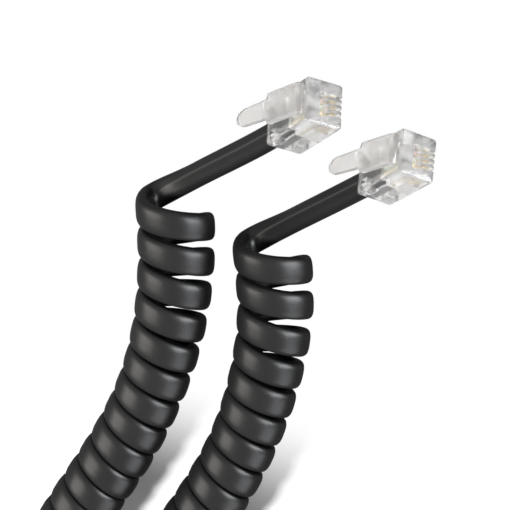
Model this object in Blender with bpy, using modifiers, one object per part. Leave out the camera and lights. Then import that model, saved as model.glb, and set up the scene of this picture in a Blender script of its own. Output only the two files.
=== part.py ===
"""Curly handset cord: a flat cable wound into a springy coil, with a clear four-contact plug on each end.

Metres, +Z up. The coil lies on the floor at z = 0, and its short stiff tails hold the two plugs up.
"""

import math

import bmesh
import bpy
import numpy as np
from mathutils import Matrix, Vector

MM = 0.001

# Flat cable
CABLE_WIDTH = 4.5 * MM
CABLE_THICKNESS = 2.4 * MM
CABLE_CORNER = 0.8 * MM
JOINT_GAP = 0.3 * MM

# Coil of the cable
COIL_RADIUS = 6.0 * MM  # outside, along the middle of the cord
END_SWELL = 0.65 * MM  # how much wider the loosened turns at each end are
END_OPENING = 0.22  # how much further apart they stand, as a share of the pitch
END_LENGTH = 38 * MM  # how far from each end the turns are loosened
TURN_LEAN = 0.09  # how far the tight turns lean away from the ends, as a share of their height
TURNS = 54.5  # from side to side of the coil
POINTS_PER_TURN = 8
TURN_GAP = 0.45 * MM
WIDEST_BAND = 1.06  # of the cable's width, where the outside of a bend opens the turns
FLOOR_FLAT = 0.45 * MM  # a tenth of the cable's width is cut flat where the coil lies on the floor

# Lay of the coil's axis over the floor, from end a to end b, in units of LAY_UNIT
LAY_UNIT = 1 * MM
LAY_CENTRE = (-9.425, -41.44)
COIL_LAY = (
    (-13.6, 8.0),
    (-13.3, 1.0),
    (-13.95, -8.5),
    (-15.95, -18.2),
    (-19.5, -27.8),
    (-24.5, -36.7),
    (-30.3, -45.4),
    (-36.0, -55.0),
    (-40.4, -65.2),
    (-41.9, -77.2),
    (-39.5, -89.7),
    (-32.3, -100.8),
    (-21.3, -108.4),
    (-8.7, -112.2),
    (3.9, -112.6),
    (13.9, -109.0),
    (20.1, -100.6),
    (20.1, -90.0),
    (13.9, -81.6),
    (2.5, -79.2),
    (-9.4, -77.0),
    (-16.3, -68.0),
    (-16.1, -57.3),
    (-9.1, -46.7),
    (-3.95, -38.2),
    (0.0, -28.8),
    (2.5, -19.2),
    (3.85, -9.5),
    (2.95, 0.2),
)

# Plugs' poses: the middle of the housing's rear in units of the lay, the way to the nose, and the way across
PLUG_REAR = {"a": (4.7, 25.8, 26.0), "b": (19.35, 17.6, 25.9)}
PLUG_NOSE_WAY = {"a": (0.508, 0.471, 0.721), "b": (0.506, 0.461, 0.729)}
PLUG_WIDTH_WAY = {"a": (-0.044, -0.822, 0.568), "b": (-0.113, -0.802, 0.587)}

# Tails, and the bends that lead from them into the coil
TAIL_FOOT = {"a": (-12.5, 11.9, 2.7), "b": (4.1, 4.0, 2.7)}
BEND_TAIL_REACH = 4.5 * MM
BEND_COIL_REACH = 4.5 * MM
BEND_POINTS = 8
TAIL_POINTS = 6

# Plug housing, in its own axes: x to the nose, y across the contacts, z to the contact side
PLUG_LENGTH = 12 * MM
PLUG_WIDTH = 7.65 * MM
PLUG_HEIGHT = 6.6 * MM
PLUG_EDGE = 0.3 * MM
JACKET_DEPTH = 5.2 * MM
CABLE_CLEARANCE = 0.25 * MM

# Wires and contacts
WIRE_COLOURS = ("black", "red", "green", "yellow")
WIRE_DIAMETER = 0.86 * MM
WIRE_LENGTH = 5.6 * MM
WIRE_PITCH = 1.02 * MM
WIRE_CLEARANCE = 0.12 * MM
CONTACT_THICKNESS = 0.34 * MM
CONTACT_CLEARANCE = 0.08 * MM
CONTACT_LENGTH = 3.8 * MM
CONTACT_SETBACK = 0.5 * MM  # from the nose
CONTACT_SINK = 0.55 * MM  # below the housing's contact side
CONTACT_BITE = 0.35 * MM  # how deep the points stand in the wires
CONTACT_CORNER = 0.8 * MM
POINT_WIDTH = 0.9 * MM
SLOT_FLOOR = 0.9 * MM  # height of the open front slots above the wires' axis

# Strain relief
ANCHOR_LENGTH = 2.4 * MM
ANCHOR_HEIGHT = 1.1 * MM
ANCHOR_SETBACK = 2.2 * MM  # from the housing's rear
ANCHOR_CLEARANCE = 0.2 * MM

# Slits in the latch side
SLIT_LENGTH = 2.3 * MM
SLIT_WIDTH = 0.85 * MM
SLIT_SETBACK = 1.7 * MM
SLIT_SPACING = 4.7 * MM

# Latch
LATCH_GAP = 0.25 * MM
LATCH_THICKNESS = 1.0 * MM
LATCH_TIP_THICKNESS = 0.8 * MM
LATCH_RISE = 1.73 * MM  # from the housing to the lever's outer face at the root
LATCH_SLOPE = math.radians(14.2)
LATCH_ROOT_LENGTH = 1.3 * MM
LATCH_SETBACK = 0.4 * MM  # from the nose
LATCH_OVERHANG = 1.8 * MM  # past the housing's rear
SHOULDER_WIDTH = 5.2 * MM
SHOULDER_AT = 5.0 * MM  # from the housing's rear
SHOULDER_RUN = 0.4 * MM
LEVER_WIDTH = 3.3 * MM
LEVER_TIP_WIDTH = 2.9 * MM
TIP_SEGMENTS = 8

# Mesh quality
CURVE_STEPS = 12
WIRE_SIDES = 12
CORNER_POINTS = 5
EDGE_SEGMENTS = 2
CUT_MARGIN = 1 * MM

LOOKS = {
    "black_vinyl": ((0.02, 0.02, 0.021), 0.42, 0.0, 0.0),
    "clear_plastic": ((0.93, 0.94, 0.95), 0.08, 0.0, 0.9),
    "gold": ((0.83, 0.62, 0.26), 0.25, 1.0, 0.0),
    "yellow": ((0.85, 0.66, 0.08), 0.4, 0.0, 0.0),
    "green": ((0.08, 0.42, 0.14), 0.4, 0.0, 0.0),
    "red": ((0.62, 0.06, 0.05), 0.4, 0.0, 0.0),
    "black": ((0.03, 0.03, 0.03), 0.4, 0.0, 0.0),
}


def clear_scene():
    for obj in list(bpy.data.objects):
        bpy.data.objects.remove(obj, do_unlink=True)


def collection(name):
    made = bpy.data.collections.new(name)
    bpy.context.scene.collection.children.link(made)
    return made


def material(name):
    colour, roughness, metallic, transmission = LOOKS[name]
    made = bpy.data.materials.new(name)
    made.use_nodes = True
    shader = made.node_tree.nodes["Principled BSDF"]
    shader.inputs["Base Color"].default_value = (*colour, 1)
    shader.inputs["Roughness"].default_value = roughness
    shader.inputs["Metallic"].default_value = metallic
    shader.inputs["Transmission Weight"].default_value = transmission
    return made


def add_object(name, data, finish=None, parent=None):
    """A new object, among the parts if it has a finish and among the cutters if not."""
    obj = bpy.data.objects.new(name, data)
    (PARTS if finish else CUTTERS).objects.link(obj)
    if finish:
        data.materials.append(FINISHES[finish])
    else:
        obj.hide_render = True
        obj.display_type = "WIRE"
    obj.parent = parent
    return obj


def smooth_shade(mesh, angle=35):
    mesh.shade_smooth()
    mesh.set_sharp_from_angle(angle=math.radians(angle))


def mesh_of(obj):
    """The object's evaluated shape as a mesh with its loose caps welded. The object itself is removed."""
    bpy.context.view_layer.update()
    graph = bpy.context.evaluated_depsgraph_get()
    mesh = bpy.data.meshes.new_from_object(obj.evaluated_get(graph))
    bpy.data.objects.remove(obj, do_unlink=True)
    shape = bmesh.new()
    shape.from_mesh(mesh)
    bmesh.ops.remove_doubles(shape, verts=shape.verts, dist=0.001 * MM)
    bmesh.ops.recalc_face_normals(shape, faces=shape.faces)
    shape.to_mesh(mesh)
    shape.free()
    mesh.materials.clear()
    return mesh


def outline_mesh(name, outline, thickness):
    """A flat outline in x and y with straight edges, given its thickness along z."""
    curve = bpy.data.curves.new(name, "CURVE")
    curve.dimensions = "2D"
    curve.fill_mode = "BOTH"
    curve.extrude = thickness / 2
    spline = curve.splines.new("POLY")
    spline.points.add(len(outline) - 1)
    spline.use_cyclic_u = True
    for point, (x, y) in zip(spline.points, outline):
        point.co = (x, y, 0, 1)
    return mesh_of(add_object(name, curve))


def side_plate(name, outline, thickness):
    """A flat outline in x and z, given its thickness along y."""
    mesh = outline_mesh(name, outline, thickness)
    mesh.transform(Matrix.Rotation(math.pi / 2, 4, "X"))
    return mesh


def box_mesh(name, low, high):
    shape = bmesh.new()
    bmesh.ops.create_cube(shape, size=1)
    size = [b - a for a, b in zip(low, high)]
    middle = [(a + b) / 2 for a, b in zip(low, high)]
    bmesh.ops.scale(shape, verts=shape.verts, vec=size)
    bmesh.ops.translate(shape, verts=shape.verts, vec=middle)
    mesh = bpy.data.meshes.new(name)
    shape.to_mesh(mesh)
    shape.free()
    return mesh


def cut(obj, cutter, operation="DIFFERENCE"):
    modifier = obj.modifiers.new(cutter.name, "BOOLEAN")
    modifier.operation = operation
    modifier.object = cutter


def round_edges(obj, width, segments=EDGE_SEGMENTS):
    modifier = obj.modifiers.new("edges", "BEVEL")
    modifier.width = width
    modifier.segments = segments
    modifier.limit_method = "ANGLE"


def laid(x, y, z=0.0):
    """A point of the lay in the part's own frame."""
    return Vector((x - LAY_CENTRE[0], y - LAY_CENTRE[1], z)) * LAY_UNIT


def smooth_route(points):
    """Points along a cubic B-spline that starts and ends at the first and last of the given points."""
    points = np.array(points)
    knots = np.vstack([2 * points[0] - points[1], points, 2 * points[-1] - points[-2]])
    steps = np.arange(CURVE_STEPS)[:, None] / CURVE_STEPS
    weights = np.hstack(
        [
            (1 - steps) ** 3,
            3 * steps**3 - 6 * steps**2 + 4,
            -3 * steps**3 + 3 * steps**2 + 3 * steps + 1,
            steps**3,
        ]
    )
    route = [weights @ knots[i : i + 4] / 6 for i in range(len(points) - 1)]
    return np.vstack([*route, points[-1]])


def bezier(start, start_handle, end_handle, end, count):
    """Points along a cubic Bezier curve, with both ends."""
    found = []
    for step in range(count + 1):
        t = step / count
        u = 1 - t
        found.append(u**3 * start + 3 * u * u * t * start_handle + 3 * u * t * t * end_handle + t**3 * end)
    return found


def loosened(distance, length):
    """From 1 at the coil's ends to 0 at END_LENGTH from them."""
    near = np.clip(np.minimum(distance, length - distance) / END_LENGTH, 0, 1)
    return 1 - near * near * (3 - 2 * near)


def coil_points():
    """The helix: each point, the way of the coil's axis there, and the band's width as a share of the cable's."""
    route = smooth_route([laid(*point) for point in COIL_LAY])
    steps = np.linalg.norm(np.diff(route, axis=0), axis=1)
    along = np.concatenate([[0], np.cumsum(steps)])
    way = np.gradient(route, along, axis=0)
    way /= np.linalg.norm(way, axis=1)[:, None]
    heading = np.unwrap(np.arctan2(way[:, 1], way[:, 0]))
    bend = np.gradient(heading, along)
    loose = loosened(along, along[-1])
    radius = COIL_RADIUS + END_SWELL * loose
    # Turns crowd on the inside of a bend, so the pitch grows there until they have the same room
    room = (1 + END_OPENING * loose) / (1 - radius * np.abs(bend))
    per_metre = 1 / room
    turn = np.concatenate([[0], np.cumsum((per_metre[1:] + per_metre[:-1]) / 2 * steps)])
    pitch = room * turn[-1] / TURNS
    lean = TURN_LEAN * (1 - loose) * np.cos(math.pi * along / along[-1])
    turn *= TURNS / turn[-1]

    found = []
    values = np.column_stack([route, way, radius, bend, pitch, lean])
    for step in range(round(TURNS * POINTS_PER_TURN) + 1):
        angle = 2 * math.pi * step / POINTS_PER_TURN
        x, y, _, way_x, way_y, _, outside, curve, spacing, leaning = (
            float(np.interp(step / POINTS_PER_TURN, turn, column)) for column in values.T
        )
        axis = Vector((way_x, way_y, 0)).normalized()
        right = axis.cross(Vector((0, 0, 1)))
        arm = outside - CABLE_THICKNESS / 2
        centre = Vector((x, y, outside - FLOOR_FLAT))
        point = centre + arm * (math.cos(angle) * right + math.sin(angle) * (Vector((0, 0, 1)) + leaning * axis))
        width = spacing * (1 + curve * outside * math.cos(angle)) - TURN_GAP
        found.append((point, axis, min(width / CABLE_WIDTH, WIDEST_BAND)))
    return found


def plug_frame(end):
    """The plug's axes as a matrix: its origin is the middle of the housing's rear."""
    nose = Vector(PLUG_NOSE_WAY[end]).normalized()
    across = Vector(PLUG_WIDTH_WAY[end])
    across = (across - across.dot(nose) * nose).normalized()
    turned = Matrix((nose, across, nose.cross(across))).transposed().to_4x4()
    return Matrix.Translation(laid(*PLUG_REAR[end])) @ turned


def tail_line(end):
    """The tail's foot where its bend starts, its way from there to the plug, and the plug's way across."""
    frame = plug_frame(end)
    foot = laid(*TAIL_FOOT[end])
    return foot, (frame.translation - foot).normalized(), frame.to_3x3() @ Vector((0, 1, 0))


def end_bend(end, coil_end, coil_way, axis):
    """Points from the tail's foot, round the end bend, to the coil, with the cable's wide way at each."""
    foot, way, across = tail_line(end)
    straight = foot + way * CABLE_WIDTH
    points = bezier(
        foot,
        foot - way * BEND_TAIL_REACH,
        coil_end - coil_way * BEND_COIL_REACH,
        coil_end,
        BEND_POINTS,
    )[:-1]
    wides = [across.lerp(axis, step / BEND_POINTS) for step in range(BEND_POINTS)]
    return [straight, *points], [across, *wides]


def cable_profile():
    """The flat cable's section as a closed outline: a rectangle with its corners taken off."""
    half_width = CABLE_WIDTH / 2
    half_thick = CABLE_THICKNESS / 2
    corner = CABLE_CORNER
    quarter = ((half_width, half_thick - corner), (half_width - corner, half_thick))
    outline = [
        *quarter,
        *((-x, y) for x, y in reversed(quarter)),
        *((-x, -y) for x, y in quarter),
        *((x, -y) for x, y in reversed(quarter)),
    ]
    curve = bpy.data.curves.new("cable_profile", "CURVE")
    curve.dimensions = "2D"
    spline = curve.splines.new("POLY")
    spline.points.add(len(outline) - 1)
    spline.use_cyclic_u = True
    for point, (x, y) in zip(spline.points, outline):
        point.co = (x, y, 0, 1)
    return add_object("cable_profile", curve)


def flat_cable(name, points, wides, shares):
    """A tube of the cable's section along the points, with its wide side turned the way that each point gives."""
    curve = bpy.data.curves.new(f"{name}_path", "CURVE")
    curve.dimensions = "3D"
    curve.twist_mode = "Z_UP"
    curve.bevel_mode = "OBJECT"
    curve.bevel_object = PROFILE
    curve.use_fill_caps = True
    spline = curve.splines.new("POLY")
    spline.points.add(len(points) - 1)
    runs = [(b - a).normalized() for a, b in zip(points, points[1:])]
    for i, (point, wide, share) in enumerate(zip(points, wides, shares)):
        way = (runs[max(i - 1, 0)] + runs[min(i, len(runs) - 1)]).normalized()
        start = way.to_track_quat("-Z", "Y") @ Vector((1, 0, 0))
        wide = (wide - wide.dot(way) * way).normalized()
        spline.points[i].co = (*point, 1)
        spline.points[i].tilt = math.atan2(way.dot(start.cross(wide)), start.dot(wide))
        spline.points[i].radius = share
    mesh = mesh_of(add_object(f"{name}_path", curve))
    mesh.name = name
    return add_object(name, mesh, "black_vinyl")


def make_curly_cord():
    coil = coil_points()
    points = [point for point, _, _ in coil]
    wides = [axis for _, axis, _ in coil]
    shares = [share for _, _, share in coil]
    start, start_wides = end_bend("a", points[0], (points[1] - points[0]).normalized(), wides[0])
    end, end_wides = end_bend("b", points[-1], (points[-2] - points[-1]).normalized(), -wides[-1])
    end_wides = [-wide for wide in end_wides]
    bend_shares = list(np.linspace(1, shares[0], len(start)))
    all_points = [*start, *points, *reversed(end)]
    all_wides = [*start_wides, *wides, *reversed(end_wides)]
    all_shares = [*bend_shares, *shares, *reversed(bend_shares)]
    cord = flat_cable("curly_cord", all_points, all_wides, all_shares)
    print_least_gap(cord.data, len(all_points))
    spans = np.array(all_points)
    low = spans.min(axis=0) - COIL_RADIUS
    high = spans.max(axis=0) + COIL_RADIUS
    floor = box_mesh("floor_cut", (low[0], low[1], -COIL_RADIUS), (high[0], high[1], 0))
    cut(cord, add_object("floor_cut", floor))
    length = sum((b - a).length for a, b in zip(all_points, all_points[1:]))
    print(f"curly cord: {TURNS} turns, {length:.3f} m of cable with its end bends")


def print_least_gap(mesh, rings):
    """Prints the least distance between points of the tube that lie half a turn or more apart along it."""
    corners = np.empty(len(mesh.vertices) * 3)
    mesh.vertices.foreach_get("co", corners)
    corners = corners.reshape(rings, -1, 3)
    least = math.inf
    apart = POINTS_PER_TURN // 2
    for ring in range(rings - apart):
        others = corners[ring + apart :].reshape(-1, 3)
        span = np.linalg.norm(others[:, None] - corners[ring][None], axis=2)
        least = min(least, span.min())
    print(f"curly cord: least gap to itself {least / MM:.2f} mm")


def make_tail(end):
    """The cable from its bend to inside the plug, curving a little into the plug's own way."""
    frame = plug_frame(end)
    foot, way, across = tail_line(end)
    entry = frame.translation
    nose = frame.to_3x3() @ Vector((1, 0, 0))
    start = foot + way * (CABLE_WIDTH + JOINT_GAP)
    reach = (entry - start).length / 3
    points = bezier(start, start + way * reach, entry - nose * reach, entry, TAIL_POINTS)
    points.append(entry + nose * JACKET_DEPTH)
    flat_cable(f"tail_{end}", points, [across] * len(points), [1] * len(points))


def wire_places():
    count = len(WIRE_COLOURS)
    return [(i - (count - 1) / 2) * WIRE_PITCH for i in range(count)]


def contact_span():
    """Where the contacts and their slots start and end along the plug."""
    front = PLUG_LENGTH - CONTACT_SETBACK
    return front - CONTACT_LENGTH, front


def make_housing(end, base):
    size = (PLUG_LENGTH, PLUG_WIDTH / 2, PLUG_HEIGHT / 2)
    mesh = box_mesh(f"plug_housing_{end}", (0, -size[1], -size[2]), size)
    housing = add_object(f"plug_housing_{end}", mesh, "clear_plastic", base)
    round_edges(housing, PLUG_EDGE)
    hole = [half + CABLE_CLEARANCE for half in (CABLE_WIDTH / 2, CABLE_THICKNESS / 2)]
    chamber = WIRE_DIAMETER / 2 + WIRE_CLEARANCE
    chamber_side = wire_places()[-1] + chamber
    wire_start = JACKET_DEPTH + CABLE_CLEARANCE
    chamber_end = wire_start + WIRE_LENGTH + WIRE_CLEARANCE
    contact_start, contact_end = contact_span()
    slot = CONTACT_THICKNESS / 2 + CONTACT_CLEARANCE
    over = PLUG_HEIGHT / 2 + CUT_MARGIN
    window = ANCHOR_SETBACK - ANCHOR_CLEARANCE
    cuts = {
        "cable_hole": ((-CUT_MARGIN, -hole[0], -hole[1]), (wire_start, hole[0], hole[1])),
        "wire_chamber": (
            (wire_start - CUT_MARGIN, -chamber_side, -chamber),
            (chamber_end, chamber_side, chamber),
        ),
        "anchor_window": (
            (window, -hole[0], 0),
            (window + ANCHOR_LENGTH + 2 * ANCHOR_CLEARANCE, hole[0], over),
        ),
    }
    for number, place in enumerate(wire_places(), 1):
        low, high = place - slot, place + slot
        start = contact_start - CONTACT_CLEARANCE
        cuts[f"slot_{number}"] = (
            (start, low, 0),
            (contact_end - CONTACT_LENGTH * 0.12, high, over),
        )
        cuts[f"front_slot_{number}"] = (
            (start + CONTACT_CLEARANCE * 2, low, SLOT_FLOOR),
            (PLUG_LENGTH + CUT_MARGIN, high, over + CUT_MARGIN),
        )
    for side, way in (("left", -1), ("right", 1)):
        middle = way * SLIT_SPACING / 2
        cuts[f"slit_{side}"] = (
            (SLIT_SETBACK, middle - SLIT_WIDTH / 2, -over),
            (SLIT_SETBACK + SLIT_LENGTH, middle + SLIT_WIDTH / 2, 0),
        )
    for name, (low, high) in cuts.items():
        cutter = box_mesh(f"{name}_{end}", low, high)
        cut(housing, add_object(f"{name}_{end}", cutter, parent=base))


def make_anchor(end, base):
    """A wedge pressed onto the jacket, lower at the rear."""
    bottom = CABLE_THICKNESS / 2 + ANCHOR_CLEARANCE
    front = ANCHOR_SETBACK + ANCHOR_LENGTH
    outline = (
        (ANCHOR_SETBACK, bottom),
        (front, bottom),
        (front, bottom + ANCHOR_HEIGHT),
        (ANCHOR_SETBACK + ANCHOR_LENGTH * 0.35, bottom + ANCHOR_HEIGHT * 0.8),
        (ANCHOR_SETBACK, bottom + ANCHOR_HEIGHT * 0.45),
    )
    mesh = side_plate(f"anchor_bar_{end}", outline, CABLE_WIDTH)
    add_object(f"anchor_bar_{end}", mesh, "clear_plastic", base)


def contact_outline():
    """The blade from the side: two piercing points below, and a rounded front corner above."""
    start, front = contact_span()
    top = PLUG_HEIGHT / 2 - CONTACT_SINK
    waist = WIRE_DIAMETER / 2 + WIRE_CLEARANCE
    bite = WIRE_DIAMETER / 2 - CONTACT_BITE
    foot_end = front - CONTACT_LENGTH * 0.2
    points = [start + POINT_WIDTH * share for share in (0, 0.5, 1)]
    second = [foot_end - POINT_WIDTH * share for share in (1, 0.5, 0)]
    shoulder = SLOT_FLOOR + WIRE_CLEARANCE
    corner = [
        (front - CONTACT_CORNER * (1 - math.sin(turn)), top - CONTACT_CORNER * (1 - math.cos(turn)))
        for turn in np.linspace(math.pi / 2, 0, CORNER_POINTS)
    ]
    return [
        (points[0], waist),
        (points[1], bite),
        (points[2], waist),
        (second[0], waist),
        (second[1], bite),
        (second[2], waist),
        (foot_end, shoulder),
        (front, shoulder),
        *corner,
        (start, top),
    ]


def make_contacts_and_wires(end, base):
    outline = contact_outline()
    notch = CONTACT_THICKNESS / 2 + CONTACT_CLEARANCE
    start, front = contact_span()
    for number, (colour, place) in enumerate(zip(WIRE_COLOURS, wire_places()), 1):
        blade = side_plate(f"contact_{number}_{end}", outline, CONTACT_THICKNESS)
        blade.transform(Matrix.Translation((0, place, 0)))
        add_object(f"contact_{number}_{end}", blade, "gold", base)

        shape = bmesh.new()
        bmesh.ops.create_cone(
            shape,
            cap_ends=True,
            segments=WIRE_SIDES,
            radius1=WIRE_DIAMETER / 2,
            radius2=WIRE_DIAMETER / 2,
            depth=WIRE_LENGTH,
            matrix=Matrix.Rotation(math.pi / 2, 4, "Y"),
        )
        middle = JACKET_DEPTH + CABLE_CLEARANCE + WIRE_LENGTH / 2
        bmesh.ops.translate(shape, verts=shape.verts, vec=(middle, place, 0))
        mesh = bpy.data.meshes.new(f"wire_{colour}_{end}")
        shape.to_mesh(mesh)
        shape.free()
        smooth_shade(mesh)
        wire = add_object(f"wire_{colour}_{end}", mesh, colour, base)
        low = (start - CONTACT_CLEARANCE, place - notch, WIRE_DIAMETER / 2 - CONTACT_BITE - CONTACT_CLEARANCE)
        high = (front, place + notch, WIRE_DIAMETER)
        pierced = box_mesh(f"pierced_{colour}_{end}", low, high)
        cut(wire, add_object(f"pierced_{colour}_{end}", pierced, parent=base))


def make_latch(end, base):
    """The lever is its side outline, cut to its plan outline. Its origin is on the hinge at the root."""
    housing_side = -PLUG_HEIGHT / 2
    front = PLUG_LENGTH - LATCH_SETBACK
    back = front - LATCH_ROOT_LENGTH
    tip = -LATCH_OVERHANG
    inner = housing_side - LATCH_RISE + LATCH_THICKNESS
    tip_inner = inner - (back - tip) * math.tan(LATCH_SLOPE)
    outer = inner - LATCH_THICKNESS
    pivot = Vector(((front + back) / 2, 0, (housing_side - LATCH_GAP + outer) / 2))
    side = [
        (front, housing_side - LATCH_GAP),
        (back, housing_side - LATCH_GAP),
        (back, inner),
        (tip, tip_inner),
        (tip, tip_inner - LATCH_TIP_THICKNESS),
        (back, outer),
        (front - LATCH_ROOT_LENGTH * 0.3, outer + LATCH_ROOT_LENGTH * 0.2),
        (front, outer + LATCH_ROOT_LENGTH * 0.5),
    ]
    wide = SHOULDER_WIDTH / 2
    lever = LEVER_WIDTH / 2
    round_end = LEVER_TIP_WIDTH / 2
    half_plan = [
        (front + CUT_MARGIN, wide),
        (SHOULDER_AT, wide),
        (SHOULDER_AT - SHOULDER_RUN, lever),
    ]
    end_arc = [
        (tip + round_end * (1 - math.sin(turn)), round_end * math.cos(turn))
        for turn in np.linspace(0, math.pi, TIP_SEGMENTS + 1)
    ]
    plan = [*half_plan, *end_arc, *((x, -y) for x, y in reversed(half_plan))]
    mesh = side_plate(f"latch_{end}", side, SHOULDER_WIDTH + CUT_MARGIN)
    mesh.transform(Matrix.Translation(-pivot))
    hinge = bpy.data.objects.new(f"latch_hinge_{end}", None)
    PARTS.objects.link(hinge)
    hinge.parent = base
    hinge.location = pivot
    latch = add_object(f"latch_{end}", mesh, "clear_plastic", hinge)
    reach = 2 * (abs(tip_inner) + CUT_MARGIN)
    plan_mesh = outline_mesh(f"latch_plan_{end}", plan, 2 * reach)
    plan_mesh.transform(Matrix.Translation(-pivot))
    cut(latch, add_object(f"latch_plan_{end}", plan_mesh, parent=hinge), "INTERSECT")


def make_plug(end):
    base = bpy.data.objects.new(f"plug_{end}", None)
    PARTS.objects.link(base)
    base.matrix_world = plug_frame(end)
    make_housing(end, base)
    make_anchor(end, base)
    make_contacts_and_wires(end, base)
    make_latch(end, base)


clear_scene()
PARTS = collection("curly_handset_cord")
CUTTERS = collection("cutters")
FINISHES = {name: material(name) for name in LOOKS}
PROFILE = cable_profile()
make_curly_cord()
for plug_end in ("a", "b"):
    make_tail(plug_end)
    make_plug(plug_end)
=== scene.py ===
"""Looks of the curly handset cord: satin black cable in a springy coil, with two clear plugs."""

import math

import bpy
import numpy as np
from mathutils import Matrix, Vector


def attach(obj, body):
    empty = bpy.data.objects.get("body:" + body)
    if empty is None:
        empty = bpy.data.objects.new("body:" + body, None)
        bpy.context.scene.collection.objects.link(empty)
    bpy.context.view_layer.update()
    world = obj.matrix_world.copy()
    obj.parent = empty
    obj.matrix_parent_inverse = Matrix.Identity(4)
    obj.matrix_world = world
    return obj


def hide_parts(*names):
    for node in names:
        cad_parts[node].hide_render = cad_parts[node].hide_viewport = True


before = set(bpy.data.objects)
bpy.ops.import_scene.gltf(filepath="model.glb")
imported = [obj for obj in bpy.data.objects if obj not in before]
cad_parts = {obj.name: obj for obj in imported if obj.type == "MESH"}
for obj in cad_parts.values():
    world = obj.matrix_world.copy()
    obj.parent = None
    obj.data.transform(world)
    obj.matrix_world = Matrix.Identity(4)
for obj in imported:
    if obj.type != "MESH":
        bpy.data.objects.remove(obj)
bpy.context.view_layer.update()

MM = 0.001
UP = Vector((0, 0, 1))
ENDS = ("a", "b")

# Flat cable
CABLE_WIDTH = 4.5 * MM
CABLE_THICKNESS = 2.4 * MM
CABLE_HALVES = (CABLE_WIDTH / 2, CABLE_THICKNESS / 2)
SECTION_POINTS = 28
SECTION_POWER = 3.1  # 2 is an ellipse, more is squarer
SEAM_POINT = 21  # in the middle of the face towards the coil's axis
SEAM_HEIGHT = 0.1 * MM
JACKET_DEPTH = 5.2 * MM  # how far the cable reaches into a plug
JACKET_STEPS = (1, 0.66, 0.33)  # places of its points there, as shares of that depth

# Coil of the cable
COIL_RADIUS = 6.0 * MM  # outside, along the middle of the cord
END_SWELL = 0.65 * MM  # how much wider the loosened turns at each end are
END_OPENING = 0.22  # how much further apart they stand, as a share of the pitch
END_LENGTH = 38 * MM  # how far from each end the turns are loosened
END_SLANT = 0.25 * MM  # how much more the loosened turns slant across the coil
END_SAG = 0.7 * MM  # how far their undersides lie back from the end
TURN_LEAN = 0.09  # how far the tight turns lean away from the ends, as a share of their height
TURNS = 54.5
POINTS_PER_TURN = 40
TURN_GAP = 0.12 * MM
WIDEST_BAND = 1.06  # as a share of the cable's width
FLOOR_FLAT = 0.45 * MM  # how far the undersides are pressed flat on the floor

# Lay of the coil's axis over the floor, from end a to end b, in units of LAY_UNIT
LAY_UNIT = 1 * MM
LAY_CENTRE = (-9.425, -41.44)
COIL_LAY = (
    (-13.6, 8.0),
    (-13.3, 1.0),
    (-13.95, -8.5),
    (-15.95, -18.2),
    (-19.5, -27.8),
    (-24.5, -36.7),
    (-30.3, -45.4),
    (-36.0, -55.0),
    (-40.4, -65.2),
    (-41.9, -77.2),
    (-39.5, -89.7),
    (-32.3, -100.8),
    (-21.3, -108.4),
    (-8.7, -112.2),
    (3.9, -112.6),
    (13.9, -109.0),
    (20.1, -100.6),
    (20.1, -90.0),
    (13.9, -81.6),
    (2.5, -79.2),
    (-9.4, -77.0),
    (-16.3, -68.0),
    (-16.1, -57.3),
    (-9.1, -46.7),
    (-3.95, -38.2),
    (0.0, -28.8),
    (2.5, -19.2),
    (3.85, -9.5),
    (2.95, 0.2),
)
ROUTE_STEPS = 12  # between two points of the lay

# Poses of the plugs: the rear's middle in units of the lay, and the ways to the nose and across
PLUG_REAR = {"a": (4.7, 25.8, 26.0), "b": (19.35, 17.6, 25.9)}
PLUG_NOSE_WAY = {"a": (0.508, 0.471, 0.721), "b": (0.506, 0.461, 0.729)}
PLUG_WIDTH_WAY = {"a": (-0.044, -0.822, 0.568), "b": (-0.113, -0.802, 0.587)}

# Tails, and the bends that lead from them into the coil
TAIL_FOOT = {"a": (-12.5, 11.9, 2.7), "b": (4.1, 4.0, 2.7)}
TAIL_POINTS = 12
BEND_TAIL_REACH = 9.5 * MM
BEND_COIL_REACH = 5.0 * MM
BEND_POINTS = 30

# Plug housings, in their own axes: x to the nose, y across the contacts, z to the contact side
PLUG_LENGTH = 12 * MM
PLUG_WIDTH = 7.65 * MM
PLUG_HEIGHT = 6.6 * MM
LONG_EDGE = 0.55 * MM
LONG_EDGE_STEPS = 4
SHORT_EDGE = 0.4 * MM
SHORT_EDGE_STEPS = 3
CABLE_GRIP = 0.15 * MM  # how far the housing presses into the cable, on the latch's side
BORE_GAP = 0.12 * MM  # air between the housing and the cable's other sides
BORE_END = 5.35 * MM
MOUTH_DEPTH = 0.5 * MM
MOUTH_GAP = 0.3 * MM
WIRE_COUNT = 4
WIRE_PITCH = 1.02 * MM
CHAMBER_START = 5.3 * MM
CHAMBER_END = 11.17 * MM
CHAMBER_HALF = 0.55 * MM
SLOT_START = 7.6 * MM
SLOT_END = 11.05 * MM
SLOT_HALF = 0.25 * MM
SLOT_FLOOR = 0.9 * MM  # height of the open front slots above the wires' axis
WINDOW_START = 2.0 * MM
WINDOW_END = 4.8 * MM
WINDOW_HALF = 2.5 * MM
SLIT_START = 1.0 * MM
SLIT_END = 2.8 * MM
SLIT_HALF = 0.42 * MM
SLIT_SPACING = 4.2 * MM
SLIT_DEPTH = 2.45 * MM
SMOOTH_ANGLE = math.radians(35)  # edges sharper than this stay crisp

# Latches
LATCH_EDGE = 0.14 * MM
LATCH_EDGE_STEPS = 3
LATCH_MERGE = 0.001 * MM
LATCH_FLAT = math.radians(1)  # faces that meet at less than this are one face
LATCH_SHARP = math.radians(40)  # edges that turn more than this are rounded

# Camera
PHOTO_PIXELS = 510
CAMERA_DISTANCE = 380 * MM
CAMERA_TILT = math.radians(14)
CAMERA_NEAR = 10 * MM
PIXELS_PER_METRE = 5850  # at the camera's target
TARGET_HEIGHT = 6 * MM
SENSOR = 36.0  # millimetres

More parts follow.
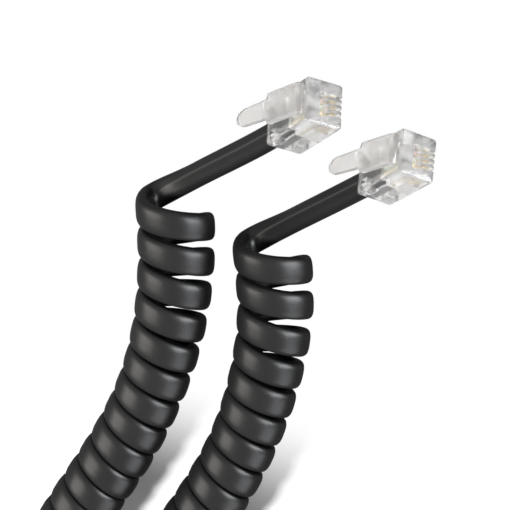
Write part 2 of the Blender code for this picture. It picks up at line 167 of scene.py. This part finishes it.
# Scuffs, the surface effect that all finishes share
GRAIN_DETAIL = 4.0
GRAIN_ROUGHNESS = 0.6
TONE_SCALE = 0.06  # as a share of the grain's
TONE_DETAIL = 3.0
SPECK_EDGE = (0.16, 0.06)  # from where a speck of dust starts to where it is full
SPECK_TONE = (0.52, 0.66)  # from the tone at which specks start to the one where all show

# Finishes: fineness is in grains to a metre, roughness a range, and bump a strength and a depth
VINYL_DARK = (0.013, 0.013, 0.0131, 1)
VINYL_PALE = (0.021, 0.0208, 0.0204, 1)
VINYL_FINENESS = 1500.0
VINYL_SHEEN = 0.4
VINYL_ROUGHNESS = (0.32, 0.52)
VINYL_BUMP = (0.12, 0.03 * MM)
STREAK_SCALE = (90, 5200, 5200)  # along the cable, then round it
STREAK_DETAIL = 3.0
DUST = (0.16, 0.155, 0.15, 1)
DUST_SHARE = 0.12
# colour of a painted highlight along the seam, on the face towards the coil's axis
VINYL_SEAM_HIGHLIGHT = (0.09, 0.088, 0.085, 1)
SEAM_HIGHLIGHT_SHARE = 0.6  # how much of the painted seam highlight shows along the seam's middle
SEAM_HIGHLIGHT_REACH = 0.34 * MM  # how far to each side it fades out
HOUSING_DARK = (0.97, 0.965, 0.955, 1)
HOUSING_PALE = (1.0, 0.995, 0.985, 1)
HOUSING_CLEARNESS = 0.92
LATCH_DARK = (0.7, 0.69, 0.675, 1)
LATCH_PALE = (0.8, 0.79, 0.775, 1)
LATCH_CLEARNESS = 0.75
CLEAR_FINENESS = 900.0
CLEAR_IOR = 1.45
CLEAR_COAT = 0.25
CLEAR_COAT_ROUGHNESS = 0.08
CLEAR_ROUGHNESS = (0.13, 0.25)
CLEAR_BUMP = (0.1, 0.05 * MM)
GOLD_DARK = (0.78, 0.66, 0.44, 1)
GOLD_PALE = (0.93, 0.82, 0.6, 1)
GOLD_FINENESS = 4000.0
GOLD_METALLIC = 0.6
GOLD_ROUGHNESS = (0.15, 0.4)
GOLD_BUMP = (0.15, 0.01 * MM)
WIRE_COLOURS = {
    "yellow": (0.78, 0.68, 0.45),
    "green": (0.5, 0.56, 0.44),
    "red": (0.62, 0.46, 0.4),
    "black": (0.28, 0.27, 0.26),
}
WIRE_DULL = 0.8  # the darker tone of each colour, as a share of it
WIRE_FINENESS = 2500.0
WIRE_ROUGHNESS = (0.3, 0.5)
WIRE_BUMP = (0.1, 0.01 * MM)

# Floor
FLOOR_SIZE = 6.0  # metres
FLOOR_DROP = 0.02 * MM
SHADOW_WAY = Vector((0.345, 1, 0))  # the way in which the shadow fades over the floor
SHADOW_FULL = -50.0  # how far along the lay the floor shows the whole shadow
SHADOW_GONE = -28.5
FLOOR_NEAR = 0.12  # from here to FLOOR_FAR, in metres from the middle, it fades to plain white
FLOOR_FAR = 0.25
FLOOR_SEEN = (0.9, 0.9, 0.9, 1)
FLOOR_PLAIN = (0.12, 0.12, 0.12, 1)  # the floor as the satin cable mirrors it
FLOOR_LIFT = 0.08  # a faint glow that keeps the shadow pale
MIRRORED_WHITE = 0.03  # how much of the white the satin cable mirrors

# Light
WORLD_LIGHT = 0.2
WORLD_MIRRORED = 0.45  # the world as glossy surfaces mirror it
CLEAR_BOUNCES = 24  # enough for light to leave the clear plastic
WHITE_LIGHT = (1.0, 1.0, 1.0)
WARM_LIGHT = (1.0, 0.97, 0.92)
COOL_LIGHT = (0.94, 0.96, 1.0)
KEY_SOFTBOX = "key_softbox"

# Softboxes: name, place from the middle of the view and size in metres, watts, and colour
SOFTBOXES = (
    (KEY_SOFTBOX, (-0.365, -0.02, 0.5), (0.1, 0.1), 4.8, WHITE_LIGHT),
    ("left_softbox", (-0.55, 0.05, 0.27), (0.35, 0.55), 2.7, WARM_LIGHT),
    ("right_softbox", (0.5, 0.1, 0.3), (0.3, 0.5), 5.6, COOL_LIGHT),
    ("low_softbox", (0.45, -0.45, 0.3), (0.5, 0.5), 2.3, COOL_LIGHT),
)


def laid(x, y, z=0.0):
    """A point of the lay in the part's own frame."""
    return Vector((x - LAY_CENTRE[0], y - LAY_CENTRE[1], z)) * LAY_UNIT


def select_only(obj):
    bpy.ops.object.select_all(action="DESELECT")
    obj.select_set(True)
    bpy.context.view_layer.objects.active = obj


def add_camera():
    """The camera of the photo's view: high above the middle of the view, and tilted a little."""
    data = bpy.data.cameras.new("camera")
    camera = bpy.data.objects.new("camera", data)
    bpy.context.scene.collection.objects.link(camera)
    data.sensor_width = SENSOR
    data.lens = PIXELS_PER_METRE * CAMERA_DISTANCE * SENSOR / PHOTO_PIXELS
    data.clip_start = CAMERA_NEAR
    turned = Matrix.Rotation(-CAMERA_TILT, 4, "X")
    back = turned.to_3x3() @ UP
    target = laid(0, 0) + UP * TARGET_HEIGHT
    camera.matrix_world = Matrix.Translation(target + back * CAMERA_DISTANCE) @ turned
    bpy.context.scene.camera = camera


def smooth_route(points):
    """Points along a cubic B-spline from the first to the last of the given points."""
    points = np.array(points)
    knots = np.vstack([2 * points[0] - points[1], points, 2 * points[-1] - points[-2]])
    steps = np.arange(ROUTE_STEPS)[:, None] / ROUTE_STEPS
    weights = np.hstack(
        [
            (1 - steps) ** 3,
            3 * steps**3 - 6 * steps**2 + 4,
            -3 * steps**3 + 3 * steps**2 + 3 * steps + 1,
            steps**3,
        ]
    )
    route = [weights @ knots[i : i + 4] / 6 for i in range(len(points) - 1)]
    return np.vstack([*route, points[-1]])


def curve_between(start, start_handle, end_handle, end, count):
    """Points along a cubic curve that leaves and reaches its ends towards its two handles."""
    found = []
    for step in range(count + 1):
        t = step / count
        u = 1 - t
        near_start = u**3 * start + 3 * u * u * t * start_handle
        found.append(near_start + 3 * u * t * t * end_handle + t**3 * end)
    return found


def loosened(distance, length):
    """From 1 at the coil's ends to 0 at END_LENGTH from them."""
    near = np.clip(np.minimum(distance, length - distance) / END_LENGTH, 0, 1)
    return 1 - near * near * (3 - 2 * near)


def coil_shape():
    """How many turns are wound at each step along the coil's axis, and the shape there."""
    route = smooth_route([laid(*point) for point in COIL_LAY])
    steps = np.linalg.norm(np.diff(route, axis=0), axis=1)
    along = np.concatenate([[0], np.cumsum(steps)])
    way = np.gradient(route, along, axis=0)
    way /= np.linalg.norm(way, axis=1)[:, None]
    heading = np.unwrap(np.arctan2(way[:, 1], way[:, 0]))
    bend = np.gradient(heading, along)
    loose = loosened(along, along[-1])
    inwards = np.cos(math.pi * along / along[-1])
    radius = COIL_RADIUS + END_SWELL * loose
    room = (1 + END_OPENING * loose) / (1 - radius * np.abs(bend))
    per_metre = 1 / room
    wound = np.concatenate([[0], np.cumsum((per_metre[1:] + per_metre[:-1]) / 2 * steps)])
    pitch = room * wound[-1] / TURNS
    wound *= TURNS / wound[-1]
    lean = TURN_LEAN * (1 - loose) * inwards
    slant = END_SLANT * loose
    sag = END_SAG * loose * inwards
    shape = [route[:, :2], way[:, :2], radius, bend, pitch, lean, slant, sag]
    return wound, np.column_stack(shape)


def coil_points():
    """The helix: each point, the coil's way there, and the band's share of the cable's width."""
    wound, shape = coil_shape()
    found = []
    for step in range(round(TURNS * POINTS_PER_TURN) + 1):
        turn = step / POINTS_PER_TURN
        here = [float(np.interp(turn, wound, column)) for column in shape.T]
        x, y, way_x, way_y, radius, bend, pitch, lean, slant, sag = here
        angle = 2 * math.pi * step / POINTS_PER_TURN
        axis = Vector((way_x, way_y, 0)).normalized()
        right = axis.cross(UP)
        arm = radius - CABLE_THICKNESS / 2
        centre = Vector((x, y, radius - FLOOR_FLAT))
        point = centre + arm * (math.cos(angle) * right + math.sin(angle) * (UP + lean * axis))
        under = max(-math.sin(angle), 0)
        point += (sag * under**2 - slant * math.cos(angle)) * axis
        width = pitch * (1 + bend * radius * math.cos(angle)) - TURN_GAP
        found.append((point, axis, min(width / CABLE_WIDTH, WIDEST_BAND)))
    return found


def plug_frame(end):
    """The plug's axes as a matrix: x to its nose, y across its contacts, from its rear's middle."""
    nose = Vector(PLUG_NOSE_WAY[end]).normalized()
    across = Vector(PLUG_WIDTH_WAY[end])
    across = (across - across.dot(nose) * nose).normalized()
    turned = Matrix((nose, across, nose.cross(across))).transposed().to_4x4()
    return Matrix.Translation(laid(*PLUG_REAR[end])) @ turned


def cord_end(end, coil_end, coil_way, axis):
    """Points from inside the plug to the coil, and the way across the cable's wide side at each."""
    plug = plug_frame(end)
    entry = plug.translation
    nose = plug.col[0].to_3d()
    across = plug.col[1].to_3d()
    foot = laid(*TAIL_FOOT[end])
    way = (entry - foot).normalized()
    start = foot + way * CABLE_WIDTH
    reach = (entry - start).length / 3
    inside = [entry + nose * JACKET_DEPTH * share for share in JACKET_STEPS]
    tail = curve_between(entry, entry - nose * reach, start + way * reach, start, TAIL_POINTS)
    bend = curve_between(
        start,
        start - way * BEND_TAIL_REACH,
        coil_end - coil_way * BEND_COIL_REACH,
        coil_end,
        BEND_POINTS,
    )[1:-1]
    straight = [*inside, *tail]
    turning = [across.lerp(axis, step / BEND_POINTS) for step in range(1, BEND_POINTS)]
    return [*straight, *bend], [across] * len(straight) + turning


def cable_profile():
    """The flat cable's section: a flattened round with nearly flat faces."""
    curve = bpy.data.curves.new("cable_profile", "CURVE")
    curve.dimensions = "2D"
    spline = curve.splines.new("POLY")
    spline.points.add(SECTION_POINTS - 1)
    spline.use_cyclic_u = True
    for i, point in enumerate(spline.points):
        angle = 2 * math.pi * i / SECTION_POINTS
        x, y = math.cos(angle), math.sin(angle)
        scale = (abs(x) ** SECTION_POWER + abs(y) ** SECTION_POWER) ** (-1 / SECTION_POWER)
        seam = SEAM_HEIGHT if i == SEAM_POINT else 0
        point.co = (x * scale * CABLE_WIDTH / 2, y * (scale * CABLE_THICKNESS / 2 + seam), 0, 1)
    profile = bpy.data.objects.new("cable_profile", curve)
    bpy.context.scene.collection.objects.link(profile)
    return profile


def flat_cable(name, points, wides, shares):
    """A mesh tube of the cable's section along the points, turned and widened as each one says."""
    profile = cable_profile()
    curve = bpy.data.curves.new(name, "CURVE")
    curve.dimensions = "3D"
    curve.twist_mode = "Z_UP"
    curve.bevel_mode = "OBJECT"
    curve.bevel_object = profile
    spline = curve.splines.new("POLY")
    spline.points.add(len(points) - 1)
    runs = [(b - a).normalized() for a, b in zip(points, points[1:])]
    for i, (point, wide, share) in enumerate(zip(points, wides, shares)):
        way = (runs[max(i - 1, 0)] + runs[min(i, len(runs) - 1)]).normalized()
        start = way.to_track_quat("-Z", "Y") @ Vector((1, 0, 0))
        wide = (wide - wide.dot(way) * way).normalized()
        spline.points[i].co = (*point, 1)
        spline.points[i].tilt = math.atan2(way.dot(start.cross(wide)), start.dot(wide))
        spline.points[i].radius = share
    tube = bpy.data.objects.new(name, curve)
    bpy.context.scene.collection.objects.link(tube)
    select_only(tube)
    bpy.ops.object.convert(target="MESH")
    bpy.data.objects.remove(profile, do_unlink=True)
    tube = bpy.context.object
    bpy.ops.object.mode_set(mode="EDIT")
    bpy.ops.mesh.select_all(action="SELECT")
    bpy.ops.mesh.fill_holes(sides=0)
    bpy.ops.mesh.normals_make_consistent(inside=False)
    bpy.ops.object.mode_set(mode="OBJECT")
    bpy.ops.object.shade_smooth()
    return tube


def press_flat(mesh):
    """Flattens on the floor what would reach below it."""
    corners = np.empty(len(mesh.vertices) * 3)
    mesh.vertices.foreach_get("co", corners)
    corners[2::3] = np.maximum(corners[2::3], 0)
    mesh.vertices.foreach_set("co", corners)


def mark_cable_place(mesh, points):
    """Stores each corner's place along the cable and round its section, in metres."""
    steps = [(b - a).length for a, b in zip(points, points[1:])]
    along = np.concatenate([[0], np.cumsum(steps)])
    turns = np.arange(SECTION_POINTS) / SECTION_POINTS
    girth = 2 * (CABLE_WIDTH + CABLE_THICKNESS)
    place = np.zeros((len(points), SECTION_POINTS, 3))
    place[:, :, 0] = along[:, None]
    place[:, :, 1] = np.cos(2 * math.pi * turns) * girth / (2 * math.pi)
    place[:, :, 2] = np.sin(2 * math.pi * turns) * girth / (2 * math.pi)
    layer = mesh.attributes.new("cable_place", "FLOAT_VECTOR", "POINT")
    layer.data.foreach_set("vector", place.ravel())


def make_cord():
    """The cable as one unbroken tube from plug to plug."""
    points, wides, shares = zip(*coil_points())
    start_way = (points[1] - points[0]).normalized()
    end_way = (points[-2] - points[-1]).normalized()
    start, start_wides = cord_end("a", points[0], start_way, wides[0])
    end, end_wides = cord_end("b", points[-1], end_way, -wides[-1])
    start_shares = np.linspace(1, shares[0], len(start))
    end_shares = np.linspace(shares[-1], 1, len(end))
    all_points = [*start, *points, *reversed(end)]
    all_wides = [*start_wides, *wides, *(-wide for wide in reversed(end_wides))]
    cord = flat_cable("cord", all_points, all_wides, [*start_shares, *shares, *end_shares])
    press_flat(cord.data)
    mark_cable_place(cord.data, all_points)
    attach(cord, "cord")
    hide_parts("curly_cord", "tail_a", "tail_b")
    return cord


def add_block(name, low, high):
    """A box of the given corners in a plug's own axes."""
    bpy.ops.object.select_all(action="DESELECT")
    middle = [(a + b) / 2 for a, b in zip(low, high)]
    size = [b - a for a, b in zip(low, high)]
    bpy.ops.mesh.primitive_cube_add(size=1, location=middle, scale=size)
    block = bpy.context.object
    block.name = name
    bpy.ops.object.transform_apply(location=True, rotation=False, scale=True)
    return block


def round_edges(obj, chosen, width, steps):
    """Bevels the edges for whose two corners the test holds."""
    select_only(obj)
    bpy.ops.object.mode_set(mode="EDIT")
    bpy.ops.mesh.select_mode(type="EDGE")
    bpy.ops.mesh.select_all(action="DESELECT")
    bpy.ops.object.mode_set(mode="OBJECT")
    corners = obj.data.vertices
    for edge in obj.data.edges:
        first, second = (corners[i].co for i in edge.vertices)
        edge.select = chosen(first, second)
    bpy.ops.object.mode_set(mode="EDIT")
    bpy.ops.mesh.bevel(offset=width, segments=steps, affect="EDGES")
    bpy.ops.object.mode_set(mode="OBJECT")


def runs_along_plug(first, second):
    return abs(first.x - second.x) > PLUG_LENGTH / 2


def lies_at_plug_end(first, second):
    level = abs(first.x - second.x) < SHORT_EDGE
    return level and min(abs(first.x), abs(first.x - PLUG_LENGTH)) < SHORT_EDGE


def carve(obj, low, high):
    """Takes a box out of the object."""
    cutter = add_block("cutter", low, high)
    select_only(obj)
    modifier = obj.modifiers.new("carve", "BOOLEAN")
    modifier.operation = "DIFFERENCE"
    modifier.object = cutter
    bpy.ops.object.modifier_apply(modifier="carve")
    bpy.data.objects.remove(cutter, do_unlink=True)


def make_housing(end):
    """The clear housing. It grips the cable on the latch's side, with air round the rest."""
    half_width = PLUG_WIDTH / 2
    half_height = PLUG_HEIGHT / 2
    over = PLUG_HEIGHT
    rear_corner = (0, -half_width, -half_height)
    nose_corner = (PLUG_LENGTH, half_width, half_height)
    housing = add_block(f"clear_housing_{end}", rear_corner, nose_corner)
    round_edges(housing, runs_along_plug, LONG_EDGE, LONG_EDGE_STEPS)
    round_edges(housing, lies_at_plug_end, SHORT_EDGE, SHORT_EDGE_STEPS)

    # Mouth and bore for the cable, chamber for the wires, and window of the strain relief
    grip = CABLE_THICKNESS / 2 - CABLE_GRIP
    mouth_y, mouth_z = (half + MOUTH_GAP for half in CABLE_HALVES)
    bore_y, bore_z = (half + BORE_GAP for half in CABLE_HALVES)
    wires = [(i - (WIRE_COUNT - 1) / 2) * WIRE_PITCH for i in range(WIRE_COUNT)]
    chamber = wires[-1] + CHAMBER_HALF
    carve(housing, (-over, -mouth_y, -mouth_z), (MOUTH_DEPTH, mouth_y, mouth_z))
    carve(housing, (-over, -bore_y, -grip), (BORE_END, bore_y, bore_z))
    carve(housing, (CHAMBER_START, -chamber, -CHAMBER_HALF), (CHAMBER_END, chamber, CHAMBER_HALF))
    carve(housing, (WINDOW_START, -WINDOW_HALF, grip), (WINDOW_END, WINDOW_HALF, over))

    # A slot over each wire for its contact, open to the nose, and two slits in the latch's side
    front = PLUG_LENGTH + over
    for wire in wires:
        left = wire - SLOT_HALF
        right = wire + SLOT_HALF
        carve(housing, (SLOT_START, left, 0), (SLOT_END, right, over))
        carve(housing, (SLOT_START + SLOT_HALF, left, SLOT_FLOOR), (front, right, over))
    slit_floor = SLIT_DEPTH - half_height
    for side in (-SLIT_SPACING / 2, SLIT_SPACING / 2):
        left = side - SLIT_HALF
        right = side + SLIT_HALF
        carve(housing, (SLIT_START, left, -over), (SLIT_END, right, slit_floor))

    housing.matrix_world = plug_frame(end)
    select_only(housing)
    bpy.ops.object.transform_apply(location=True, rotation=True, scale=True)
    bpy.ops.object.shade_smooth_by_angle(angle=SMOOTH_ANGLE)
    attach(housing, "cord")
    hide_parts(f"plug_housing_{end}")
    return housing


def make_latch(end):
    """The latch's solid with its sharp edges rounded as moulded ones are."""
    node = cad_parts[f"latch_{end}"]
    latch = bpy.data.objects.new(f"clear_latch_{end}", node.data.copy())
    bpy.context.scene.collection.objects.link(latch)
    select_only(latch)
    bpy.ops.object.mode_set(mode="EDIT")
    bpy.ops.mesh.select_all(action="SELECT")
    bpy.ops.mesh.remove_doubles(threshold=LATCH_MERGE)
    bpy.ops.mesh.dissolve_limited(angle_limit=LATCH_FLAT)
    bpy.ops.object.mode_set(mode="OBJECT")
    modifier = latch.modifiers.new("edges", "BEVEL")
    modifier.width = LATCH_EDGE
    modifier.segments = LATCH_EDGE_STEPS
    modifier.limit_method = "ANGLE"
    modifier.angle_limit = LATCH_SHARP
    bpy.ops.object.modifier_apply(modifier="edges")
    bpy.ops.object.shade_smooth_by_angle(angle=SMOOTH_ANGLE)
    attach(latch, f"latch_{end}")
    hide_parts(f"latch_{end}")
    return latch


def plug_in(tree, socket, value):
    """Links another node's output to the socket, or sets it to a plain value."""
    if isinstance(value, bpy.types.NodeSocket):
        tree.links.new(value, socket)
    else:
        socket.default_value = value


def add_node(tree, kind, *values, settings=None, **inputs):
    """A shader node, whose inputs get values or other nodes' outputs in their order or by name."""
    node = tree.nodes.new(f"ShaderNode{kind}")
    for name, value in (settings or {}).items():
        setattr(node, name, value)
    for socket, value in zip(node.inputs, values):
        plug_in(tree, socket, value)
    for name, value in inputs.items():
        plug_in(tree, node.inputs[name.replace("_", " ")], value)
    return node


def reckon(tree, operation, *values):
    """What a sum of one or two values comes to."""
    return add_node(tree, "Math", *values, settings={"operation": operation}).outputs[0]


def reckon_vector(tree, operation, *values):
    """The outputs of a sum of vectors: Vector, or Value where it comes to a number."""
    return add_node(tree, "VectorMath", *values, settings={"operation": operation}).outputs


def ramp(tree, value, start, end, low=0.0, high=1.0, shape="LINEAR"):
    """A value from start to end taken to the range from low to high."""
    node = add_node(
        tree,
        "MapRange",
        settings={"interpolation_type": shape},
        Value=value,
        From_Min=start,
        From_Max=end,
        To_Min=low,
        To_Max=high,
    )
    return node.outputs["Result"]


def between(tree, value, low, high):
    """A value from 0 to 1 taken to the range from low to high."""
    return ramp(tree, value, 0.0, 1.0, low, high)


def blend(tree, share, first, second):
    """A mix of two colours. The node's inputs 6 and 7 and its output 2 are the ones for colours."""
    node = add_node(tree, "Mix", share, settings={"data_type": "RGBA"})
    plug_in(tree, node.inputs[6], first)
    plug_in(tree, node.inputs[7], second)
    return node.outputs[2]


def make_scuffs():
    """Shared surface effect: fine grain, broad uneven tone, and sparse specks of dust."""
    group = bpy.data.node_groups.new("scuffs", "ShaderNodeTree")
    group.interface.new_socket("Place", in_out="INPUT", socket_type="NodeSocketVector")
    group.interface.new_socket("Fineness", in_out="INPUT", socket_type="NodeSocketFloat")
    for name in ("Grain", "Tone", "Dust"):
        group.interface.new_socket(name, in_out="OUTPUT", socket_type="NodeSocketFloat")
    start = group.nodes.new("NodeGroupInput")
    end = group.nodes.new("NodeGroupOutput")
    place = start.outputs["Place"]
    fineness = start.outputs["Fineness"]
    grain = add_node(
        group,
        "TexNoise",
        Vector=place,
        Scale=fineness,
        Detail=GRAIN_DETAIL,
        Roughness=GRAIN_ROUGHNESS,
    ).outputs["Fac"]
    broad = reckon(group, "MULTIPLY", fineness, TONE_SCALE)
    tone = add_node(group, "TexNoise", Vector=place, Scale=broad, Detail=TONE_DETAIL).outputs["Fac"]
    specks = add_node(group, "TexVoronoi", Vector=place, Scale=fineness).outputs["Distance"]
    near = ramp(group, specks, *SPECK_EDGE)
    some = ramp(group, tone, *SPECK_TONE)
    group.links.new(grain, end.inputs["Grain"])
    group.links.new(tone, end.inputs["Tone"])
    group.links.new(reckon(group, "MULTIPLY", near, some), end.inputs["Dust"])
    return group


def new_finish(name, fineness, **values):
    """A material, its shader with the given plain values, and the outputs of its scuffs."""
    made = bpy.data.materials.new(name)
    made.use_nodes = True
    tree = made.node_tree
    shader = tree.nodes["Principled BSDF"]
    for socket, value in values.items():
        shader.inputs[socket.replace("_", " ")].default_value = value
    place = add_node(tree, "TexCoord").outputs["Object"]
    scuffs = tree.nodes.new("ShaderNodeGroup")
    scuffs.node_tree = SCUFFS
    plug_in(tree, scuffs.inputs["Place"], place)
    plug_in(tree, scuffs.inputs["Fineness"], fineness)
    return made, tree, shader, scuffs.outputs


def dress(tree, shader, colour, roughness, height, bump):
    """Gives the shader its colour, its roughness, and a bump of the given strength and depth."""
    strength, depth = bump
    bumped = add_node(tree, "Bump", Strength=strength, Distance=depth, Height=height)
    tree.links.new(colour, shader.inputs["Base Color"])
    tree.links.new(roughness, shader.inputs["Roughness"])
    tree.links.new(bumped.outputs["Normal"], shader.inputs["Normal"])


def make_black_vinyl():
    """Satin vinyl with fine streaks along the cable, a painted seam highlight and a little dust."""
    made, tree, shader, scuffs = new_finish(
        "black_vinyl", VINYL_FINENESS, Specular_IOR_Level=VINYL_SHEEN
    )
    marked = add_node(tree, "Attribute", settings={"attribute_name": "cable_place"})
    place = marked.outputs["Vector"]
    stretched = reckon_vector(tree, "MULTIPLY", place, STREAK_SCALE)["Vector"]
    streaks = add_node(tree, "TexNoise", Vector=stretched, Scale=1.0, Detail=STREAK_DETAIL)
    streak = streaks.outputs["Fac"]

    vinyl = blend(tree, scuffs["Tone"], VINYL_DARK, VINYL_PALE)
    dusty = blend(tree, between(tree, scuffs["Dust"], 0.0, DUST_SHARE), vinyl, DUST)
    # Painted highlight: a pale line along the seam on the face towards the coil's axis, fading to
    # each side
    around = add_node(tree, "SeparateXYZ", place).outputs
    off_seam = reckon(tree, "ABSOLUTE", around["Y"])
    highlight_line = ramp(tree, off_seam, 0.0, SEAM_HIGHLIGHT_REACH, SEAM_HIGHLIGHT_SHARE, 0.0)
    inner_face = reckon(tree, "LESS_THAN", around["Z"], 0.0)
    seam = reckon(tree, "MULTIPLY", highlight_line, inner_face)
    colour = blend(tree, seam, dusty, VINYL_SEAM_HIGHLIGHT)

    uneven = reckon(tree, "MULTIPLY", streak, scuffs["Tone"])
    roughness = between(tree, uneven, *VINYL_ROUGHNESS)
    height = reckon(tree, "ADD", streak, scuffs["Grain"])
    dress(tree, shader, colour, roughness, height, VINYL_BUMP)
    return made


def make_clear_plastic(name, clearness, dark, pale):
    made, tree, shader, scuffs = new_finish(
        name,
        CLEAR_FINENESS,
        Transmission_Weight=clearness,
        IOR=CLEAR_IOR,
        Coat_Weight=CLEAR_COAT,
        Coat_Roughness=CLEAR_COAT_ROUGHNESS,
    )
    colour = blend(tree, scuffs["Tone"], dark, pale)
    roughness = between(tree, scuffs["Grain"], *CLEAR_ROUGHNESS)
    dress(tree, shader, colour, roughness, scuffs["Tone"], CLEAR_BUMP)
    return made


def make_gold():
    made, tree, shader, scuffs = new_finish("gold_plate", GOLD_FINENESS, Metallic=GOLD_METALLIC)
    colour = blend(tree, scuffs["Tone"], GOLD_DARK, GOLD_PALE)
    roughness = between(tree, scuffs["Grain"], *GOLD_ROUGHNESS)
    dress(tree, shader, colour, roughness, scuffs["Grain"], GOLD_BUMP)
    return made


def make_wire_skin(name, colour):
    made, tree, shader, scuffs = new_finish(f"{name}_wire", WIRE_FINENESS)
    dull = [channel * WIRE_DULL for channel in colour]
    skin = blend(tree, scuffs["Tone"], (*dull, 1), (*colour, 1))
    roughness = between(tree, scuffs["Grain"], *WIRE_ROUGHNESS)
    dress(tree, shader, skin, roughness, scuffs["Grain"], WIRE_BUMP)
    return made


def paint(obj, finish):
    obj.data.materials.clear()
    obj.data.materials.append(finish)


def paint_pieces(cord, clear_pieces):
    """Gives the cord, the clear pieces and the solids inside the plugs their finishes."""
    clear = make_clear_plastic("clear_plastic", HOUSING_CLEARNESS, HOUSING_DARK, HOUSING_PALE)
    latch_clear = make_clear_plastic(
        "clear_latch_plastic", LATCH_CLEARNESS, LATCH_DARK, LATCH_PALE
    )
    gold = make_gold()
    wire_skins = {name: make_wire_skin(name, colour) for name, colour in WIRE_COLOURS.items()}
    paint(cord, make_black_vinyl())
    for name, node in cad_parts.items():
        if name.startswith("contact"):
            paint(node, gold)
        elif name.startswith("wire"):
            paint(node, wire_skins[name.split("_")[1]])
        elif name.startswith("anchor"):
            paint(node, clear)
    for housing, latch in clear_pieces.values():
        paint(housing, clear)
        paint(latch, latch_clear)


def make_floor_white():
    """White that takes the coil's shadow, and glows to the camera far off and under the plugs."""
    finish = bpy.data.materials.new("floor_white")
    finish.use_nodes = True
    tree = finish.node_tree
    tree.nodes.clear()
    path = add_node(tree, "LightPath").outputs
    through = path["Is Transmission Ray"]
    direct = reckon(tree, "MAXIMUM", path["Is Camera Ray"], through)
    mirrored = reckon(tree, "MULTIPLY", path["Is Glossy Ray"], MIRRORED_WHITE)
    seen = reckon(tree, "MAXIMUM", direct, mirrored)

    place = add_node(tree, "TexCoord").outputs["Object"]
    along = reckon_vector(tree, "DOT_PRODUCT", place, SHADOW_WAY)["Value"]
    full = laid(0, SHADOW_FULL).dot(SHADOW_WAY)
    gone = laid(0, SHADOW_GONE).dot(SHADOW_WAY)
    faded = ramp(tree, along, full, gone, shape="SMOOTHSTEP")
    away = reckon_vector(tree, "LENGTH", place)["Value"]
    far = ramp(tree, away, FLOOR_NEAR, FLOOR_FAR)
    blank = reckon(tree, "MAXIMUM", faded, far)
    white_share = reckon(tree, "MAXIMUM", reckon(tree, "MULTIPLY", blank, seen), through)

    colour = blend(tree, direct, FLOOR_PLAIN, FLOOR_SEEN)
    grey = add_node(tree, "BsdfDiffuse", Color=colour).outputs[0]
    lift = reckon(tree, "MULTIPLY", seen, FLOOR_LIFT)
    raised = add_node(tree, "Emission", Strength=lift).outputs[0]
    shaded = add_node(tree, "AddShader", grey, raised).outputs[0]
    white = add_node(tree, "Emission", Strength=1.0).outputs[0]
    both = add_node(tree, "MixShader", white_share, shaded, white).outputs[0]
    add_node(tree, "OutputMaterial", Surface=both)
    return finish


def add_floor():
    bpy.ops.object.select_all(action="DESELECT")
    bpy.ops.mesh.primitive_plane_add(size=FLOOR_SIZE, location=(0, 0, -FLOOR_DROP))
    floor = bpy.context.object
    floor.name = "floor"
    paint(floor, make_floor_white())


def add_softbox(name, offset, size, power, colour):
    """A lamp that faces the middle. The key one lights; the others only show as highlights."""
    data = bpy.data.lights.new(name, "AREA")
    data.shape = "RECTANGLE"
    data.size, data.size_y = size
    data.energy = power
    data.color = colour
    lamp = bpy.data.objects.new(name, data)
    bpy.context.scene.collection.objects.link(lamp)
    lamp.visible_diffuse = name == KEY_SOFTBOX
    lamp.visible_glossy = name != KEY_SOFTBOX
    middle = laid(0, 0)
    place = middle + Vector(offset)
    lamp.location = place
    lamp.rotation_euler = (middle - place).to_track_quat("-Z", "Y").to_euler()


def add_studio():
    """A plain white world, which shows at full white through clear plastic, and the softboxes."""
    world = bpy.data.worlds.new("studio")
    bpy.context.scene.world = world
    world.use_nodes = True
    tree = world.node_tree
    back = tree.nodes["Background"]
    path = add_node(tree, "LightPath").outputs
    mirrored = between(tree, path["Is Glossy Ray"], WORLD_LIGHT, WORLD_MIRRORED)
    strength = reckon(tree, "MAXIMUM", mirrored, path["Is Transmission Ray"])
    plug_in(tree, back.inputs["Color"], (*WHITE_LIGHT, 1))
    plug_in(tree, back.inputs["Strength"], strength)
    for softbox in SOFTBOXES:
        add_softbox(*softbox)
    bpy.context.scene.view_settings.view_transform = "Standard"
    paths = bpy.context.scene.cycles
    paths.max_bounces = CLEAR_BOUNCES
    paths.transmission_bounces = CLEAR_BOUNCES
    paths.glossy_bounces = CLEAR_BOUNCES


SCUFFS = make_scuffs()
add_camera()
clear_pieces = {end: [make_housing(end), make_latch(end)] for end in ENDS}
cord = make_cord()
add_floor()
add_studio()
paint_pieces(cord, clear_pieces)
